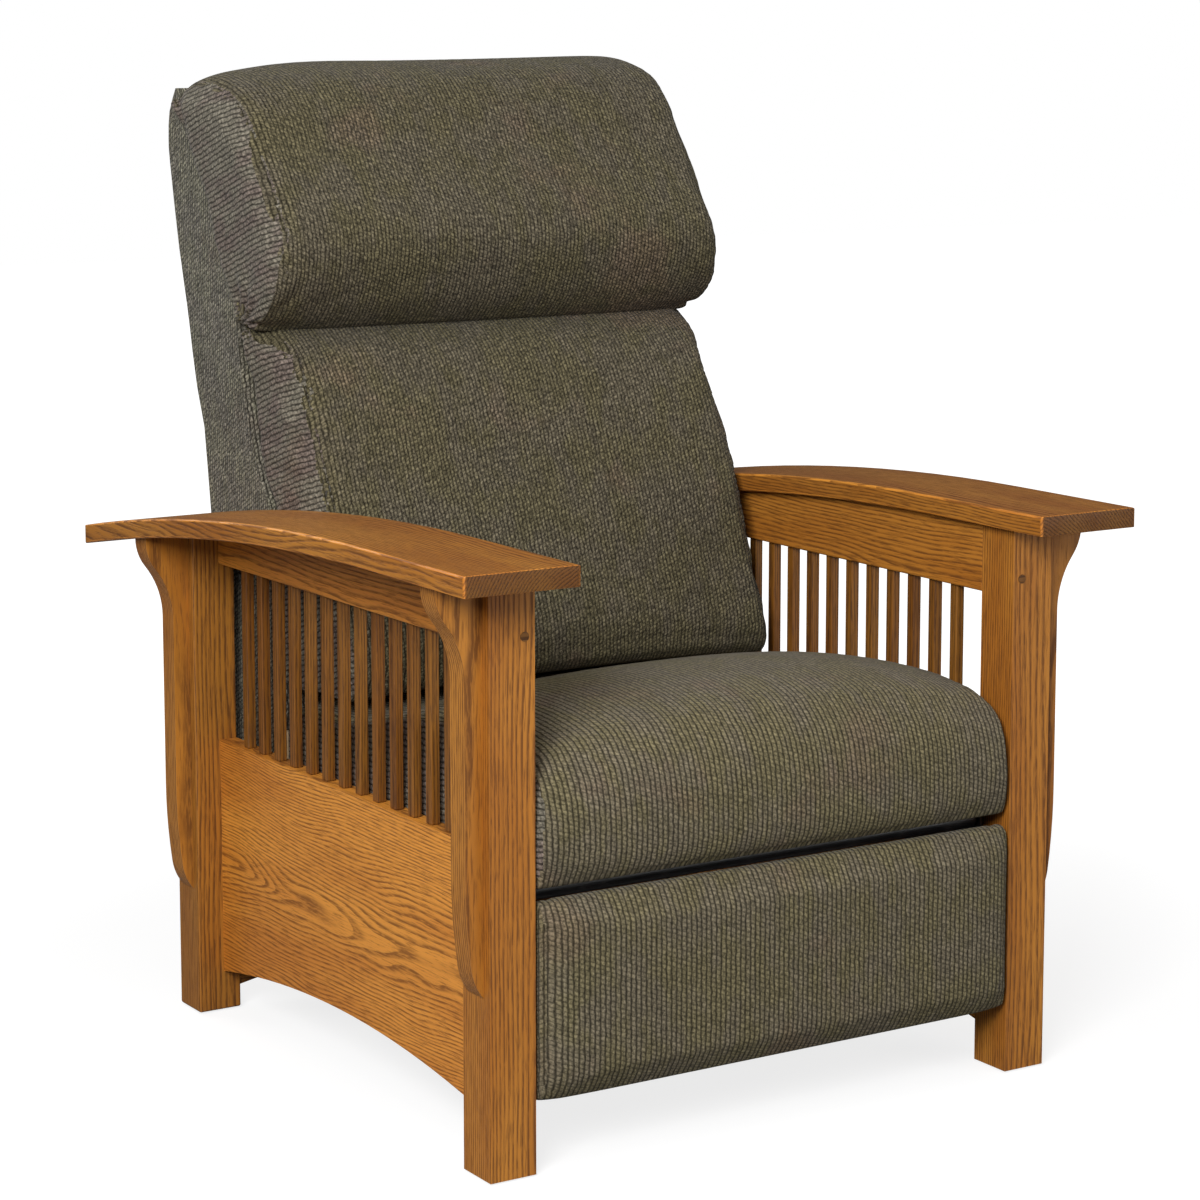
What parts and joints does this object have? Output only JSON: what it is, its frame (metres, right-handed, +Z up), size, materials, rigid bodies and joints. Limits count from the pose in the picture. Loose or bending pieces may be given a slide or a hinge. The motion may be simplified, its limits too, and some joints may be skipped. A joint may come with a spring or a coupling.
{
  "type": "mission reclining armchair",
  "caption": "Slatted oak mission armchair with bowed flat arms, corbels and arched side panels; the cushioned seat glides, the back reclines and a padded footrest unfolds.",
  "frame": {"origin": "centre of the overall box, on the floor under the chair", "axes": "+Z up, +X to the right of someone facing the chair, the front of the chair faces -Y"},
  "size_m": [0.85, 0.9372, 1.118],
  "materials": {
    "oak": "open-grain oak, honey-brown stain, satin lacquer",
    "plug": "dark stained hardwood plug, satin",
    "glide": "matt nylon",
    "frame_wood": "planed unfinished hardwood",
    "steel": "dark semi-gloss paint",
    "zinc": "zinc plated",
    "spring_wire": "bare spring wire",
    "cloth": "olive-brown ribbed chenille weave",
    "foam": "upholstery foam"
  },
  "bodies": {
    "base": {"left_front_leg": "oak", "right_front_leg": "oak", "left_rear_leg": "oak", "right_rear_leg": "oak", "left_side_panel": "oak", "right_side_panel": "oak", "left_top_rail": "oak", "right_top_rail": "oak", "left_slats": "oak", "right_slats": "oak", "left_arm": "oak", "right_arm": "oak", "left_corbels": "oak", "right_corbels": "oak", "leg_plugs": "plug", "leg_glides": "glide", "rear_stretcher": "oak", "front_stretcher": "oak", "left_base_plate": "steel", "right_base_plate": "steel", "base_cross_tube": "steel", "base_screws": "zinc", "base_pins": "zinc"},
    "front_swing": {"front_swing_links": "steel"},
    "rear_swing": {"rear_swing_links": "steel"},
    "control": {"back_control_links": "steel"},
    "seat": {"left_seat_plate": "steel", "right_seat_plate": "steel", "seat_screws": "zinc", "seat_pins": "zinc", "seat_side_rails": "frame_wood", "seat_cross_rails": "frame_wood", "seat_springs": "spring_wire", "seat_cushion": "cloth"},
    "back": {"left_back_bracket": "steel", "right_back_bracket": "steel", "back_screws": "zinc", "back_pins": "zinc", "back_posts": "frame_wood", "back_rails": "frame_wood", "back_springs": "spring_wire", "back_foam": "foam", "outside_back": "cloth", "lumbar_pillow": "cloth", "headrest_pillow": "cloth"},
    "front_footrest": {"front_footrest_links": "steel", "footrest_drive_tube": "steel", "front_link_pins": "zinc"},
    "rear_footrest": {"rear_footrest_links": "steel", "rear_link_pins": "zinc"},
    "upper_footrest": {"upper_footrest_links": "steel"},
    "lower_footrest": {"lower_footrest_links": "steel"},
    "footrest": {"left_footrest_bracket": "steel", "right_footrest_bracket": "steel", "footrest_screws": "zinc", "footrest_pins": "zinc", "footrest_board": "frame_wood", "footrest_pad": "cloth"}
  },
  "joints": [
    {"name": "recline", "type": "hinge", "parent": "base", "child": "front_swing", "pos_m": [0, -0.25259, 0.29], "axis": [-1, 0, 0], "range_deg": [0, 50]},
    {"name": "seat_level", "type": "hinge", "parent": "front_swing", "child": "seat", "pos_m": [0, -0.24928, 0.19506], "axis": [-1, 0, 0], "range_deg": [-50, 0]},
    {"name": "rear_hang", "type": "hinge", "parent": "base", "child": "rear_swing", "pos_m": [0, 0.08241, 0.29], "axis": [-1, 0, 0], "range_deg": [0, 50]},
    {"name": "back_control", "type": "hinge", "parent": "base", "child": "control", "pos_m": [0, 0.16183, 0.2946], "axis": [-1, 0, 0], "range_deg": [0, 44.91]},
    {"name": "back_tilt", "type": "hinge", "parent": "seat", "child": "back", "pos_m": [0, 0.16741, 0.205], "axis": [-1, 0, 0], "range_deg": [0, 32.5]},
    {"name": "front_footrest_swing", "type": "hinge", "parent": "seat", "child": "front_footrest", "pos_m": [0, -0.35559, 0.285], "axis": [-1, 0, 0], "range_deg": [0, 86]},
    {"name": "rear_footrest_swing", "type": "hinge", "parent": "seat", "child": "rear_footrest", "pos_m": [0, -0.29959, 0.265], "axis": [-1, 0, 0], "range_deg": [0, 86]},
    {"name": "upper_footrest_cross", "type": "hinge", "parent": "front_footrest", "child": "upper_footrest", "pos_m": [0, -0.28442, 0.10884], "axis": [-1, 0, 0], "range_deg": [-86, 0]},
    {"name": "lower_footrest_cross", "type": "hinge", "parent": "front_footrest", "child": "lower_footrest", "pos_m": [0, -0.27712, 0.06747], "axis": [-1, 0, 0], "range_deg": [-86, 0]},
    {"name": "footrest_tilt", "type": "hinge", "parent": "upper_footrest", "child": "footrest", "pos_m": [0, -0.37259, 0.205], "axis": [-1, 0, 0], "range_deg": [0, 86]}
  ],
  "couplings": [
    {"joint": "seat_level", "follows": "recline", "ratio": -1},
    {"joint": "rear_hang", "follows": "recline", "ratio": 1},
    {"joint": "back_control", "follows": "recline", "ratio": 0.89813},
    {"joint": "back_tilt", "follows": "recline", "ratio": 0.65},
    {"joint": "front_footrest_swing", "follows": "recline", "ratio": 1.72},
    {"joint": "rear_footrest_swing", "follows": "recline", "ratio": 1.72},
    {"joint": "upper_footrest_cross", "follows": "recline", "ratio": -1.72},
    {"joint": "lower_footrest_cross", "follows": "recline", "ratio": -1.72},
    {"joint": "footrest_tilt", "follows": "recline", "ratio": 1.72}
  ]
}
